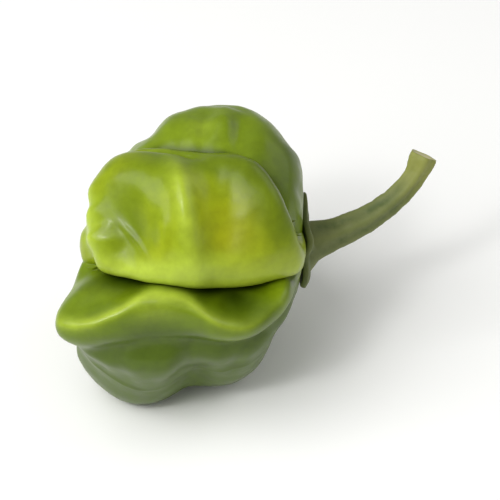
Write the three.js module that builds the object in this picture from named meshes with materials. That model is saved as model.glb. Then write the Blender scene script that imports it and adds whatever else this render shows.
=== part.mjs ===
import * as THREE from 'three';

// One scotch bonnet pepper lying on its side, with its calyx and a curved cut stalk.
// Millimetres, +Z up, the origin on the ground under the middle of the whole thing.
// Places on the pod are given by two angles in degrees: theta from the stem end (0) to the blossom end
// (180), and phi round the axis, 0 on the side that faces forward and up, growing towards the top.

// Size of the pod before its lobes and folds.
const BODY_RADIUS = 20.6;
const STEM_HALF_LENGTH = 19.3;
const BLOSSOM_HALF_LENGTH = 15.8;
const STEM_SQUARENESS = 2.5;
const BLOSSOM_SQUARENESS = 3.2;

// How it lies.
const AXIS_TURN = 9;
const AXIS_DIP = 3;
const FACE_UP = 40;
const REST_CUT = 1.2;

// Creases between the lobes: where each runs as [theta, phi], and how deep it is as [theta, mm].
const CREASES = [
  { line: [[0, -30], [46, -22], [75, -22], [93, -20.5], [107, -17.5], [115, -17], [131, -15.5], [152, -12],
    [165, -9]],
    depth: [[0, 2.0], [90, 3.0], [150, 3.0]] },
  { line: [[0, 26], [25, 10], [38, 4], [46, 8], [50, 17], [54, 27], [58, 35], [64, 43], [71, 48], [82, 53],
    [96, 59], [108, 65], [120, 71], [131, 73], [145, 71], [165, 64]],
    depth: [[0, 2.4], [45, 2.4], [60, 2.8], [75, 2.8], [100, 2.2], [150, 1.6]] },
  { line: [[0, 108], [60, 118], [100, 106], [140, 112]],
    depth: [[0, 2.6], [90, 2.8], [150, 3.0]] },
  { line: [[0, 168], [50, 164], [95, 176], [140, 168]],
    depth: [[0, 2.4], [90, 2.4], [150, 2.8]] },
  { line: [[0, 236], [60, 228], [110, 236], [150, 230]],
    depth: [[0, 2.4], [90, 1.8], [150, 2.6]] },
  { line: [[0, 290], [60, 296], [110, 286], [150, 292]],
    depth: [[0, 1.6], [50, 0.4], [90, 0], [130, 0], [150, 0.8]] },
];
const CREASE_SHARPNESS = 2.8;

// The lobe after each crease: swell in its middle, and how much more of it there is at the stem end.
const LOBES = [
  { swell: 1.2, lean: -1.0 },
  { swell: 1.3, lean: 0.6 },
  { swell: 1.2, lean: 1.0 },
  { swell: 0.8, lean: -0.4 },
  { swell: 1.6, lean: -1.0 },
  { swell: 1.4, lean: -2.2 },
];

// Degrees from the stem end and from the blossom end over which the lobes, and then the folds, come up.
const LOBES_FROM_STEM = [16, 44];
const LOBES_FROM_BLOSSOM = [11, 40];
const FOLDS_FROM_STEM = [11, 40];
const FOLDS_FROM_BLOSSOM = [22, 50];

// The deep groove under the face, which is crease 0 cut further in.
const GROOVE_DEPTH = 1.9;
const GROOVE_WIDTH = 1.5;

// The pod's girth near its ends, as a share, that the folds' widths are worked out with at the least.
const LEAST_GIRTH = 0.3;

// The wavy brim under the groove: its crest, its height, and how soon it falls away above and below.
const BRIM_LINE = [[0, -44], [15, -34], [42, -22.5], [50, -24], [63, -30], [75, -34], [86, -31], [97, -24],
  [106, -21.5], [114, -22], [123, -28], [134, -35], [145, -37], [156, -34], [165, -30]];
const BRIM_HEIGHT = [[0, 0], [14, 0], [38, 2.0], [60, 3.0], [75, 3.6], [110, 3.4], [126, 2.9], [137, 1.7],
  [149, 0.6], [162, 0]];
const BRIM_ABOVE = 1.4;
const BRIM_BELOW = 3.4;
const BRIM_BELOW_POWER = 1.6;

// The hollow that runs under the brim.
const HOLLOW_LINE = [[0, -50], [40, -38], [60, -43], [75, -45], [93, -43], [110, -42], [125, -46], [140, -54],
  [165, -54]];
const HOLLOW_DEPTH = 1.4;
const HOLLOW_WIDTH = 2.2;

// The low cushion at the blossom end: the wavy groove round it, its knobs and the scar's dimple. Its waves are
// [how many round it, degrees of theta, start].
const CUSHION_ANGLE = 31;
const CUSHION_WAVES = [[2, 3.5, 1.0], [3, 2.5, 0]];
const CUSHION_GROOVE = 2.3;
const CUSHION_GROOVE_WIDTH = 7.5;
const KNOB_COUNT = 3;
const KNOB_START = 0.8;
const KNOB_HEIGHT = 0.4;
const KNOB_ANGLE = 17;
const KNOB_WIDTH = 8;
const SCAR_DEPTH = 1.8;
const SCAR_WIDTH = 8;

// The hollow at the stem end that the calyx sits in.
const STEM_HOLLOW_DEPTH = 2.4;
const STEM_HOLLOW_WIDTH = 22;

// Dents (below 0) and swellings: theta, phi, height, half-size along the axis, half-size round it, turn.
const SPOTS = [
  [121, 14, -3.6, 4.6, 6.5, -8],
  [80, 8, -2.2, 4.4, 6.5, 12],
  [96, 17, 1.8, 1.8, 8.0, -4],
  [141, 18, 1.4, 2.4, 9.0, 0],
  [132, 50, 1.3, 6.0, 6.0, 0],
  [100, 56, -0.5, 5.5, 4.0, 0],
  [100, -9, 0.9, 14.0, 2.2, -2],
  [74, -27, -1.6, 4.0, 2.0, 0],
  [62, 24, 2.4, 3.5, 5.5, 0],
  [72, 38, 2.2, 4.5, 4.0, 0],
  [52, 6, 1.0, 4.0, 5.0, 0],
  [138, 94, -5.5, 8.0, 9.0, 0],
  [114, 84, -2.6, 6.0, 6.0, 0],
  [140, 128, -3.6, 7.0, 10.0, 0],
  [66, 80, 1.4, 7.0, 7.0, 0],
  [88, 74, -1.4, 2.2, 4.0, 20],
  [104, 88, -1.2, 2.6, 6.0, 0],
  [114, -86, 3.0, 8.0, 11.0, 0],
  [92, -80, -1.8, 3.0, 9.0, 0],
  [72, -72, 1.0, 5.0, 8.0, 0],
  [42, -90, -3.0, 6.0, 10.0, 0],
  [147, -32, 3.2, 6.0, 9.0, 0],
  [143, -66, 3.0, 6.5, 9.0, 0],
  [66, 150, -1.4, 3.0, 8.0, -20],
  [100, 142, -1.8, 3.4, 8.0, -20],
  [72, -148, 1.9, 6.0, 8.0, 0],
  [90, 196, -1.5, 3.0, 7.0, 15],
  [118, -150, 0.8, 6.0, 7.0, 0],
];

// The calyx: its reach as an angle, its five lobes, and its section from under its middle out round its rim
// and up its top, as [share of its reach, mm above its underside].
const CALYX_GAP = 0.45;
const CALYX_ANGLE = 20;
const CALYX_LOBES = 5;
const CALYX_LOBE_SIZE = 3;
const CALYX_SECTION = [[0.35, 0], [0.7, 0], [0.96, 0], [1, 0.4], [0.94, 0.8], [0.76, 1.1]];
const CALYX_MIDDLE = 1.7;

// The stalk: the collar it grows from, its path from there, and its radius as [share of its length, mm].
const COLLAR_RADIUS = 3.7;
const COLLAR_STEP = 1.2;
const STALK_PATH = [[0, 0, 0], [4.1, 1.0, 1.0], [9.1, 2.6, 2.8], [13.1, 4.4, 5.2], [16.1, 6.2, 8.2],
  [17.6, 7.8, 11.2]];
const STALK_RADIUS = [[0, 3.3], [0.12, 2.65], [0.35, 2.25], [0.6, 1.95], [0.86, 1.85], [0.97, 2.25], [1, 2.15]];
const CUT_END_DISH = 0.4;

// How finely the surfaces are divided; the last two strips lie below and above the brim, and the last one is
// never narrower than so many degrees.
const POD_RINGS = 48;
const STRIP_COLUMNS = [16, 11, 10, 10, 10, 9, 7];
const STRIP_CROWDING = 0.09;
const LEAST_STRIP = 3;
const COLUMNS_FROM_STEM = [0, 34];
const COLUMNS_FROM_BLOSSOM = [0, 29];
const STALK_COLUMNS = 30;
const STALK_RINGS = 18;

const DEG = Math.PI / 180;
const TURN = 2 * Math.PI;

function wrap(angle) {
  return angle - TURN * Math.round(angle / TURN);
}

function turned(angle) {
  return angle - TURN * Math.floor(angle / TURN);
}

function rise([from, to], x) {
  const t = Math.min(Math.max((x - from) / (to - from), 0), 1);
  return t * t * (3 - 2 * t);
}

function bump(distance, width) {
  return Math.exp(-((distance / width) ** 2));
}

// A smooth curve through [t, value] knots.
function along(knots, t) {
  const last = knots.length - 1;
  const at = Math.min(Math.max(t, knots[0][0]), knots[last][0]);
  let i = 0;
  while (i < last - 1 && at >= knots[i + 1][0]) i += 1;
  const slope = (j) => {
    const a = knots[Math.max(j - 1, 0)];
    const b = knots[Math.min(j + 1, last)];
    return (b[1] - a[1]) / (b[0] - a[0]);
  };
  const h = knots[i + 1][0] - knots[i][0];
  const u = (at - knots[i][0]) / h;
  return (1 + 2 * u) * (1 - u) ** 2 * knots[i][1] + u * (1 - u) ** 2 * h * slope(i)
    + u * u * (3 - 2 * u) * knots[i + 1][1] + u * u * (u - 1) * h * slope(i + 1);
}

// The pod's axis points from the blossom end to the stem end; front and side stand across it.
const axis = new THREE.Vector3(
  Math.cos(AXIS_TURN * DEG) * Math.cos(AXIS_DIP * DEG),
  Math.sin(AXIS_TURN * DEG) * Math.cos(AXIS_DIP * DEG),
  -Math.sin(AXIS_DIP * DEG),
);
const facing = new THREE.Vector3(0, -Math.cos(FACE_UP * DEG), Math.sin(FACE_UP * DEG));
const front = facing.clone().addScaledVector(axis, -facing.dot(axis)).normalize();
const side = new THREE.Vector3().crossVectors(front, axis);

function direction(theta, phi) {
  return axis.clone().multiplyScalar(Math.cos(theta))
    .addScaledVector(front, Math.sin(theta) * Math.cos(phi))
    .addScaledVector(side, Math.sin(theta) * Math.sin(phi));
}

// A share that comes up from 0 at both of the pod's ends, over the given degrees.
function awayFromEnds(fromStem, fromBlossom, theta) {
  return rise(fromStem, theta / DEG) * rise(fromBlossom, 180 - theta / DEG);
}

function creaseAngle(index, theta) {
  return along(CREASES[index].line, theta / DEG) * DEG;
}

function lobeHeight(theta, phi) {
  const degrees = theta / DEG;
  for (let i = 0; i < CREASES.length; i += 1) {
    const next = (i + 1) % CREASES.length;
    const start = creaseAngle(i, theta);
    const q = turned(phi - start) / turned(creaseAngle(next, theta) - start);
    if (q < 1) {
      const depth = along(CREASES[i].depth, degrees) * (1 - q) + along(CREASES[next].depth, degrees) * q;
      const swell = LOBES[i].swell + LOBES[i].lean * Math.cos(theta);
      return swell * Math.sin(Math.PI * q) ** 2 - depth * Math.abs(2 * q - 1) ** CREASE_SHARPNESS;
    }
  }
  return 0;
}

function foldHeight(theta, phi) {
  const degrees = theta / DEG;
  const across = BODY_RADIUS * Math.max(Math.sin(theta), LEAST_GIRTH);
  const middle = awayFromEnds(FOLDS_FROM_STEM, FOLDS_FROM_BLOSSOM, theta);
  const fromGroove = wrap(phi - creaseAngle(0, theta)) * across;
  const fromBrim = wrap(phi - along(BRIM_LINE, degrees) * DEG) * across;
  const fromHollow = wrap(phi - along(HOLLOW_LINE, degrees) * DEG) * across;
  const fall = fromBrim > 0 ? (fromBrim / BRIM_ABOVE) ** 2 : Math.abs(fromBrim / BRIM_BELOW) ** BRIM_BELOW_POWER;
  return along(BRIM_HEIGHT, degrees) * Math.exp(-fall)
    - GROOVE_DEPTH * bump(fromGroove, GROOVE_WIDTH) * middle
    - HOLLOW_DEPTH * bump(fromHollow, HOLLOW_WIDTH) * middle;
}

function endHeight(theta, phi) {
  const fromStem = theta / DEG;
  const fromBlossom = 180 - fromStem;
  let ring = CUSHION_ANGLE;
  for (const [count, size, start] of CUSHION_WAVES) ring += size * Math.sin(count * phi + start);
  const knobs = KNOB_HEIGHT * Math.sin(KNOB_COUNT * phi + KNOB_START);
  return knobs * bump(fromBlossom - KNOB_ANGLE, KNOB_WIDTH)
    - CUSHION_GROOVE * bump(fromBlossom - ring, CUSHION_GROOVE_WIDTH)
    - SCAR_DEPTH * bump(fromBlossom, SCAR_WIDTH)
    - STEM_HOLLOW_DEPTH * bump(fromStem, STEM_HOLLOW_WIDTH);
}

function spotHeight(theta, phi) {
  let height = 0;
  for (const [spotTheta, spotPhi, tall, halfAlong, halfRound, turn] of SPOTS) {
    const a = (theta - spotTheta * DEG) * BODY_RADIUS;
    const b = wrap(phi - spotPhi * DEG) * Math.sin(theta) * BODY_RADIUS;
    const c = Math.cos(turn * DEG);
    const s = Math.sin(turn * DEG);
    height += tall * bump(a * c + b * s, halfAlong) * bump(b * c - a * s, halfRound);
  }
  return height;
}

function podRadius(theta, phi) {
  const stemSide = theta < Math.PI / 2;
  const half = stemSide ? STEM_HALF_LENGTH : BLOSSOM_HALF_LENGTH;
  const n = stemSide ? STEM_SQUARENESS : BLOSSOM_SQUARENESS;
  const plain = (Math.abs(Math.cos(theta) / half) ** n + Math.abs(Math.sin(theta) / BODY_RADIUS) ** n)
    ** (-1 / n);
  return plain + lobeHeight(theta, phi) * awayFromEnds(LOBES_FROM_STEM, LOBES_FROM_BLOSSOM, theta)
    + foldHeight(theta, phi) + endHeight(theta, phi) + spotHeight(theta, phi);
}

// Rings of equal length with a single point closing each end, made into one closed surface.
function closedSurface(startPoint, rings, endPoint) {
  const columns = rings[0].length;
  const points = [startPoint, ...rings.flat(), endPoint];
  const end = points.length - 1;
  const at = (ring, column) => 1 + ring * columns + (column % columns);
  const faces = [];
  for (let c = 0; c < columns; c += 1) {
    faces.push(0, at(0, c + 1), at(0, c));
    faces.push(end, at(rings.length - 1, c), at(rings.length - 1, c + 1));
  }
  for (let r = 0; r < rings.length - 1; r += 1) {
    for (let c = 0; c < columns; c += 1) {
      faces.push(at(r, c), at(r + 1, c + 1), at(r + 1, c));
      faces.push(at(r, c), at(r, c + 1), at(r + 1, c + 1));
    }
  }
  const geometry = new THREE.BufferGeometry();
  geometry.setAttribute('position', new THREE.Float32BufferAttribute(points.flatMap((p) => p.toArray()), 3));
  geometry.setIndex(faces);
  return geometry;
}

// Columns that follow the creases and the brim over most of the pod, closer together beside each of them,
// and spread evenly towards its two ends.
function podColumns(theta) {
  const follow = awayFromEnds(COLUMNS_FROM_STEM, COLUMNS_FROM_BLOSSOM, theta);
  const lines = CREASES.map((crease, i) => creaseAngle(i, theta));
  lines.push(Math.min(along(BRIM_LINE, theta / DEG) * DEG, lines[0] - LEAST_STRIP * DEG));
  const total = STRIP_COLUMNS.reduce((sum, n) => sum + n, 0);
  const first = CREASES[0].line[0][1] * DEG;
  const angles = [];
  STRIP_COLUMNS.forEach((columns, strip) => {
    const start = lines[strip];
    const width = turned(lines[(strip + 1) % lines.length] - start);
    for (let c = 0; c < columns; c += 1) {
      const share = c / columns - STRIP_CROWDING * Math.sin((TURN * c) / columns);
      const even = first + (TURN * angles.length) / total;
      angles.push(even + wrap(start + width * share - even) * follow);
    }
  });
  return angles;
}

// The pod, cut flat where it rests.
function makePod() {
  const rings = [];
  for (let i = 1; i < POD_RINGS; i += 1) {
    const theta = (Math.PI * i) / POD_RINGS;
    rings.push(podColumns(theta).map((phi) => direction(theta, phi).multiplyScalar(podRadius(theta, phi))));
  }
  const stemPoint = direction(0, 0).multiplyScalar(podRadius(0, 0));
  const blossomPoint = direction(Math.PI, 0).multiplyScalar(podRadius(Math.PI, 0));
  const low = Math.min(...rings.flat().map((p) => p.z)) + REST_CUT;
  rings.flat().forEach((p) => p.setZ(Math.max(p.z, low)));
  return { geometry: closedSurface(stemPoint, rings, blossomPoint), low };
}

// Frames along the stalk, carried over from one to the next without twist.
function stalkFrames() {
  const base = podRadius(0, 0) + CALYX_GAP + CALYX_MIDDLE + COLLAR_STEP;
  const path = new THREE.CatmullRomCurve3(STALK_PATH.map(
    ([x, y, z]) => new THREE.Vector3(x, y, z).addScaledVector(axis, base),
  ));
  const frames = [];
  let across = front.clone();
  for (let i = 0; i <= STALK_RINGS; i += 1) {
    const t = i / STALK_RINGS;
    const ahead = path.getTangentAt(t);
    across = across.clone().addScaledVector(ahead, -across.dot(ahead)).normalize();
    const up = new THREE.Vector3().crossVectors(across, ahead);
    frames.push({ t, at: path.getPointAt(t), ahead, across, up });
  }
  return frames;
}

function makeCalyxAndStalk() {
  const angles = Array.from({ length: STALK_COLUMNS }, (unused, c) => (TURN * c) / STALK_COLUMNS);
  const onCalyx = (share, height) => angles.map((phi) => {
    const theta = (CALYX_ANGLE + CALYX_LOBE_SIZE * Math.cos(CALYX_LOBES * phi)) * DEG * share;
    return direction(theta, phi).multiplyScalar(podRadius(theta, phi) + CALYX_GAP + height);
  });
  const collar = COLLAR_RADIUS / podRadius(0, 0) / (CALYX_ANGLE * DEG);
  const rings = [...CALYX_SECTION, [collar, CALYX_MIDDLE]].map(([share, height]) => onCalyx(share, height));
  const frames = stalkFrames();
  for (const { t, at, across, up } of frames) {
    const radius = along(STALK_RADIUS, t);
    rings.push(angles.map((phi) => at.clone()
      .addScaledVector(across, radius * Math.cos(phi))
      .addScaledVector(up, radius * Math.sin(phi))));
  }
  const tip = frames[frames.length - 1];
  const start = direction(0, 0).multiplyScalar(podRadius(0, 0) + CALYX_GAP);
  const end = tip.at.clone().addScaledVector(tip.ahead, -CUT_END_DISH);
  return closedSurface(end, rings.reverse(), start);
}

function material(color, roughness) {
  return new THREE.MeshStandardMaterial({ color, roughness, metalness: 0 });
}

const { geometry: podGeometry, low } = makePod();
const pod = new THREE.Mesh(podGeometry, material('#7d9a1f', 0.3));
pod.name = 'pod';

const stalk = new THREE.Mesh(makeCalyxAndStalk(), material('#6f8243', 0.6));
stalk.name = 'calyx_and_stalk';

const pepper = new THREE.Group();
pepper.name = 'scotch_bonnet_pepper';
pepper.add(pod, stalk);

// Put the origin on the ground under the middle of the whole pepper.
const box = new THREE.Box3().setFromObject(pepper);
const middle = box.getCenter(new THREE.Vector3());
for (const mesh of pepper.children) mesh.geometry.translate(-middle.x, -middle.y, -low);

export default pepper;
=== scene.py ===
"""One green scotch bonnet pepper lying on its side, with its calyx and a curved cut stalk.

The pod is grown by formula from its lobes, creases, brim and dents, in the CAD model's frame. Places on it
are given by two angles in degrees: theta from the stem end (0) to the blossom end (180), and phi round the
axis, 0 on the side that faces forward and up, growing towards the top. Lengths on the pod, the calyx and the
stalk are in millimetres, and those of the stage are in metres.
"""
import math

import bpy
import numpy as np
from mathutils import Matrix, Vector, noise


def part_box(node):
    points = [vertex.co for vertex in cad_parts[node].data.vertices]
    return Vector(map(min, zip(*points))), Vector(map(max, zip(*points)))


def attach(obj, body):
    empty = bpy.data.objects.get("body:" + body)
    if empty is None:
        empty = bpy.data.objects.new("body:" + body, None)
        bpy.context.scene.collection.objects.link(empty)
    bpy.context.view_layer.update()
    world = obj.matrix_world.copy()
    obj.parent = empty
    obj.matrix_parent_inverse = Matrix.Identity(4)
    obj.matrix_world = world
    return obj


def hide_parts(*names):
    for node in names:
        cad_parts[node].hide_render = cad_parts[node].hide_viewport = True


bl_info = {
    "name": "Scotch Bonnet Pepper",
    "version": (1, 0, 0),
    "blender": (4, 5, 0),
    "location": "View3D > Sidebar > Pepper",
    "description": "Builds one green scotch bonnet pepper with its calyx and stalk",
    "category": "Add Mesh",
}

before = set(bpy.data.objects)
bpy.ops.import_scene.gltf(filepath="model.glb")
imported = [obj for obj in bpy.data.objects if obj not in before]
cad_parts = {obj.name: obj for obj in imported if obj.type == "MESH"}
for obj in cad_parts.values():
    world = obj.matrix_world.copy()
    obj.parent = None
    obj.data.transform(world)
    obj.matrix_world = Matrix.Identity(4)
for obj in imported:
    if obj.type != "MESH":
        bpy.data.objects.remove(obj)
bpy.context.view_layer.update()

MM = 0.001
DEG = math.pi / 180
TURN = 2 * math.pi

# Size of the pod before its lobes and folds.
BODY_RADIUS = 20.6
STEM_HALF_LENGTH = 19.3
BLOSSOM_HALF_LENGTH = 15.8
STEM_SQUARENESS = 2.5
BLOSSOM_SQUARENESS = 3.2

# How it lies: the way its axis and its face point.
AXIS_TURN = 9
AXIS_DIP = 3
FACE_UP = 40

# Creases between the lobes: where each runs as (theta, phi), and how deep it is as (theta, mm).
CREASES = (
    (((0, -30), (46, -22), (75, -22), (93, -20.5), (107, -17.5), (115, -17), (131, -15.5), (152, -12),
      (165, -9)),
     ((0, 2.0), (90, 3.0), (150, 3.0))),
    (((0, 26), (25, 10), (38, 4), (46, 8), (50, 17), (54, 27), (58, 35), (64, 43), (71, 48), (82, 53),
      (96, 59), (108, 65), (120, 71), (131, 73), (145, 71), (165, 64)),
     ((0, 2.4), (45, 2.4), (60, 2.8), (75, 2.8), (100, 2.2), (150, 1.6))),
    (((0, 108), (60, 118), (100, 106), (140, 112)),
     ((0, 2.6), (90, 2.8), (150, 3.0))),
    (((0, 168), (50, 164), (95, 176), (140, 168)),
     ((0, 2.4), (90, 2.4), (150, 2.8))),
    (((0, 236), (60, 228), (110, 236), (150, 230)),
     ((0, 2.4), (90, 1.8), (150, 2.6))),
    (((0, 290), (60, 296), (110, 286), (150, 292)),
     ((0, 1.6), (50, 0.4), (90, 0), (130, 0), (150, 0.8))),
)
CREASE_SHARPNESS = 2.8

# The lobe after each crease: swell in its middle, and how much more of it there is at the stem end.
LOBES = ((1.2, -1.0), (1.3, 0.6), (1.2, 1.0), (0.8, -0.4), (1.6, -1.0), (1.4, -2.2))

# Degrees from the stem end and from the blossom end over which the lobes, and then the folds, come up.
LOBES_FROM_STEM = (16, 44)
LOBES_FROM_BLOSSOM = (11, 40)
FOLDS_FROM_STEM = (11, 40)
FOLDS_FROM_BLOSSOM = (22, 50)

# The deep groove under the face, which is crease 0 cut further in.
GROOVE_DEPTH = 1.9
GROOVE_WIDTH = 1.5

# The pod's girth near its ends, as a share, that the folds' widths are worked out with at the least.
LEAST_GIRTH = 0.3

# The wavy brim under the groove: its crest, its height, and how soon it falls away above and below.
BRIM_LINE = ((0, -44), (15, -34), (42, -22.5), (50, -24), (63, -30), (75, -34), (86, -31), (97, -24),
    (106, -21.5), (114, -22), (123, -28), (134, -35), (145, -37), (156, -34), (165, -30))
BRIM_HEIGHT = ((0, 0), (14, 0), (38, 2.0), (60, 3.0), (75, 3.6), (110, 3.4), (126, 2.9), (137, 1.7),
    (149, 0.6), (162, 0))
BRIM_ABOVE = 1.4
BRIM_BELOW = 3.4
BRIM_BELOW_POWER = 1.6

# The hollow that runs under the brim.
HOLLOW_LINE = ((0, -50), (40, -38), (60, -43), (75, -45), (93, -43), (110, -42), (125, -46), (140, -54),
    (165, -54))
HOLLOW_DEPTH = 1.4
HOLLOW_WIDTH = 2.2

# The low cushion at the blossom end: the wavy groove round it, its knobs and the scar's dimple. Its waves are
# (how many round it, degrees of theta, start).
CUSHION_ANGLE = 31
CUSHION_WAVES = ((2, 3.5, 1.0), (3, 2.5, 0))
CUSHION_GROOVE = 2.3
CUSHION_GROOVE_WIDTH = 7.5
KNOB_COUNT = 3
KNOB_START = 0.8
KNOB_HEIGHT = 0.4
KNOB_ANGLE = 17
KNOB_WIDTH = 8
SCAR_DEPTH = 1.8
SCAR_WIDTH = 8

# The hollow at the stem end that the calyx sits in.
STEM_HOLLOW_DEPTH = 2.4
STEM_HOLLOW_WIDTH = 22

# Dents (below 0) and swellings: theta, phi, height, half-size along the axis, half-size round it, turn.
SPOTS = (
    (121, 14, -3.6, 4.6, 6.5, -8),
    (80, 8, -2.2, 4.4, 6.5, 12),
    (96, 17, 1.8, 1.8, 8.0, -4),
    (141, 18, 1.4, 2.4, 9.0, 0),
    (132, 50, 1.3, 6.0, 6.0, 0),
    (100, 56, -0.5, 5.5, 4.0, 0),
    (100, -9, 0.9, 14.0, 2.2, -2),
    (74, -27, -1.6, 4.0, 2.0, 0),
    (62, 24, 2.4, 3.5, 5.5, 0),
    (72, 38, 2.2, 4.5, 4.0, 0),
    (52, 6, 1.0, 4.0, 5.0, 0),
    (138, 94, -5.5, 8.0, 9.0, 0),
    (114, 84, -2.6, 6.0, 6.0, 0),
    (140, 128, -3.6, 7.0, 10.0, 0),
    (66, 80, 1.4, 7.0, 7.0, 0),
    (88, 74, -1.4, 2.2, 4.0, 20),
    (104, 88, -1.2, 2.6, 6.0, 0),
    (114, -86, 3.0, 8.0, 11.0, 0),
    (92, -80, -1.8, 3.0, 9.0, 0),
    (72, -72, 1.0, 5.0, 8.0, 0),
    (42, -90, -3.0, 6.0, 10.0, 0),
    (147, -32, 3.2, 6.0, 9.0, 0),
    (143, -66, 3.0, 6.5, 9.0, 0),
    (66, 150, -1.4, 3.0, 8.0, -20),
    (100, 142, -1.8, 3.4, 8.0, -20),
    (72, -148, 1.9, 6.0, 8.0, 0),
    (90, 196, -1.5, 3.0, 7.0, 15),
    (118, -150, 0.8, 6.0, 7.0, 0),
)

# Swellings whose tops get a painted highlight, dents of the face that are greener partly in their own colour
# and partly as painted shade, and the pocket in the groove, which gets painted shade: the place of each in
# the list above, and how strong its colour is.
HIGHLIGHT_SPOTS = ((2, 1.0), (3, 0.55), (6, 1.0))
GREEN_SPOTS = ((0, 1.0), (1, 0.1))
SHADE_SPOTS = ((7, 0.9),)

# Patches of painted light, as SPOTS with a strength for the height: painted shade in a greener colour on the
# face, painted highlights along its rim and on the brim, and darker painted shade beside the stem end.
GREEN_SHADE_PATCHES = (
    (106, 52, 0.8, 6.5, 5.0, 0),
    (60, 7, 0.75, 4.0, 6.0, 0),
    (60, 28, 0.95, 5.0, 6.5, 0),
    (87, 43, 0.8, 5.5, 4.5, 0),
    (74, 38, 0.8, 4.5, 4.5, 0),
    (102, 61, 0.4, 7.0, 2.5, 0),
    (101, 38, 0.35, 7.0, 3.0, 0),
)
HIGHLIGHT_PATCHES = (
    (109, -23, 0.32, 3.4, 2.0, 0),
    (103, 58, 0.25, 6.0, 1.5, 0),
    (139, 42, 0.6, 1.8, 2.4, 0),
    (141, 27, 0.6, 1.8, 2.2, 0),
    (142, 10, 0.6, 1.8, 2.8, 0),
    (118, -10, 0.4, 5.0, 1.6, 0),
    (83, 67, 0.3, 2.0, 2.4, 0),
)
SHADE_PATCHES = (
    (62, 33, 0.22, 4.5, 6.0, 0),
    (45, 52, 0.45, 6.5, 9.0, 0),
)

# Bands of colour along a crease or the brim: how far from its line each runs, its width, and its strength.
# The creases and the groove get painted shade, which the brim's crest is kept clear of, and the crest and
# the lip get painted highlights.
CREASE_SHADE = (0, 0.9, 1)
GROOVE_SHADE = (-0.4, 1.5, 1)
CREST_CLEARING = (0.2, 1.2, 0.9)
CREST_HIGHLIGHT = (0.15, 0.6, 1)
LIP_HIGHLIGHT = (2.6, 1.1, 0.6)

# The depth of a crease whose bottom gets all of the painted shade, and the degrees from either end over
# which the painted shade comes up.
SHADE_CREASE = 3.5
SHADE_FROM_END = (24, 50)

# How strong the painted highlight on the crest is beside the stem, and how much stronger it gets over a
# span of theta.
CREST_HIGHLIGHT_START = 0.1
CREST_HIGHLIGHT_GAIN = 0.7
CREST_HIGHLIGHT_SPAN = (60, 92)

# How strong the painted highlight on the tops of swellings is, and how closely it keeps to them.
TOP_HIGHLIGHT = 0.8
TOP_HIGHLIGHT_SHARPNESS = 1.5

# Where the lime face comes up: past the creases on its two sides, and in degrees from the stem end.
FACE_EDGE = (-0.4, 1.4)
FACE_FROM_STEM = (18, 40)

# Where the skin starts to ripen, and how far it does, both as (theta, phi), and how strongly.
BLUSH_PLACE = (77, 2)
BLUSH_REACH = (12, 16)
BLUSH_STRENGTH = 0.4

# Millimetres below the brim, and below the groove's line, over which the olive side comes up; the olive
# is partly the pod's own colour and partly painted shade.
OLIVE_BELOW_BRIM = (0.3, 5)
OLIVE_BELOW_GROOVE = (-1.4, 0.4)

# How far the brown scar reaches from the blossom end, in degrees.
SCAR_REACH = 4.5

# Small folds: the line that each follows as (theta, phi), its height (below 0 for a crease), and its width.
SMALL_FOLDS = (
    (((58, -44), (68, -45), (82, -45), (96, -43), (113, -43), (129, -49), (136, -54)), -0.45, 1.3),
    (((82, 41), (92, 46), (104, 52), (118, 58), (128, 61)), -0.9, 1.0),
    (((84, 46), (94, 52), (106, 58), (122, 64)), 0.15, 1.2),
    (((112, -6), (119, 4), (125, 13), (131, 22)), 0.35, 0.9),
    (((84, -14), (100, -13), (118, -10), (130, -6)), 0.3, 0.9),
    (((66, 60), (74, 66), (84, 70), (94, 72)), 0.3, 1.1),
    (((60, 72), (70, 80), (82, 86)), -0.45, 1.1),
    (((58, -96), (80, -104), (100, -100)), -0.4, 1.3),
    (((60, 140), (84, 132), (108, 128)), 0.35, 1.5),
    (((52, 194), (76, 204), (100, 202)), -0.4, 1.3),
)
SMALL_FOLD_FADE = 9

# Small bumps and dents: as SPOTS, the bumps along the face's left rim first.
SMALL_SPOTS = (
    (139, 42, 0.75, 1.9, 2.4, 0),
    (141, 27, 0.7, 1.9, 2.2, 0),
    (142, 11, 0.7, 1.9, 2.6, 0),
    (138, 34, -0.7, 2.6, 1.3, 0),
    (139, 19, -0.7, 2.6, 1.3, 0),
    (106, 6, 0.45, 1.0, 3.2, 10),
    (97, 32, 0.12, 2.6, 3.0, 0),
    (84, 26, -0.35, 1.4, 4.0, 12),
    (72, 18, 0.3, 1.6, 4.5, 0),
    (108, -33, -0.6, 3.2, 2.4, 0),
    (104, -54, 0.5, 1.6, 4.0, 15),
    (97, -57, -0.55, 1.4, 4.5, 10),
    (121, -56, -0.45, 1.6, 4.0, -10),
    (85, -55, 0.4, 1.5, 3.5, 0),
    (76, -58, -0.4, 1.4, 4.0, 0),
    (88, 76, 0.7, 2.4, 3.4, 20),
    (81, 69, -1.1, 1.5, 3.4, 10),
    (74, 67, 0.5, 2.0, 3.2, 0),
    (67, 61, -1.0, 1.5, 3.4, 0),
    (60, 57, 0.5, 2.0, 3.2, 0),
)

# Puckers that run out from the calyx and in towards the blossom end, drawn with a seed.
PUCKER_SEED = 11
STEM_PUCKERS = 20
BLOSSOM_PUCKERS = 14
STEM_PUCKER_SPAN = (20, 58)
BLOSSOM_PUCKER_SPAN = (122, 158)
PUCKER_WIDTH = 0.8

# How far the puckers differ: in place, as a share of their spacing, in start, stop and bend, in degrees, and
# in height and width, as shares. A pucker's far end is bent its curl times as far as its middle.
PUCKER_SCATTER = 0.35
PUCKER_LATE_START = 6
PUCKER_EARLY_STOP = 14
PUCKER_BEND = 7
PUCKER_CURL = 1.5
PUCKER_HEIGHTS = (0.5, 1)
PUCKER_WIDTHS = (0.8, 1.5)

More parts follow.
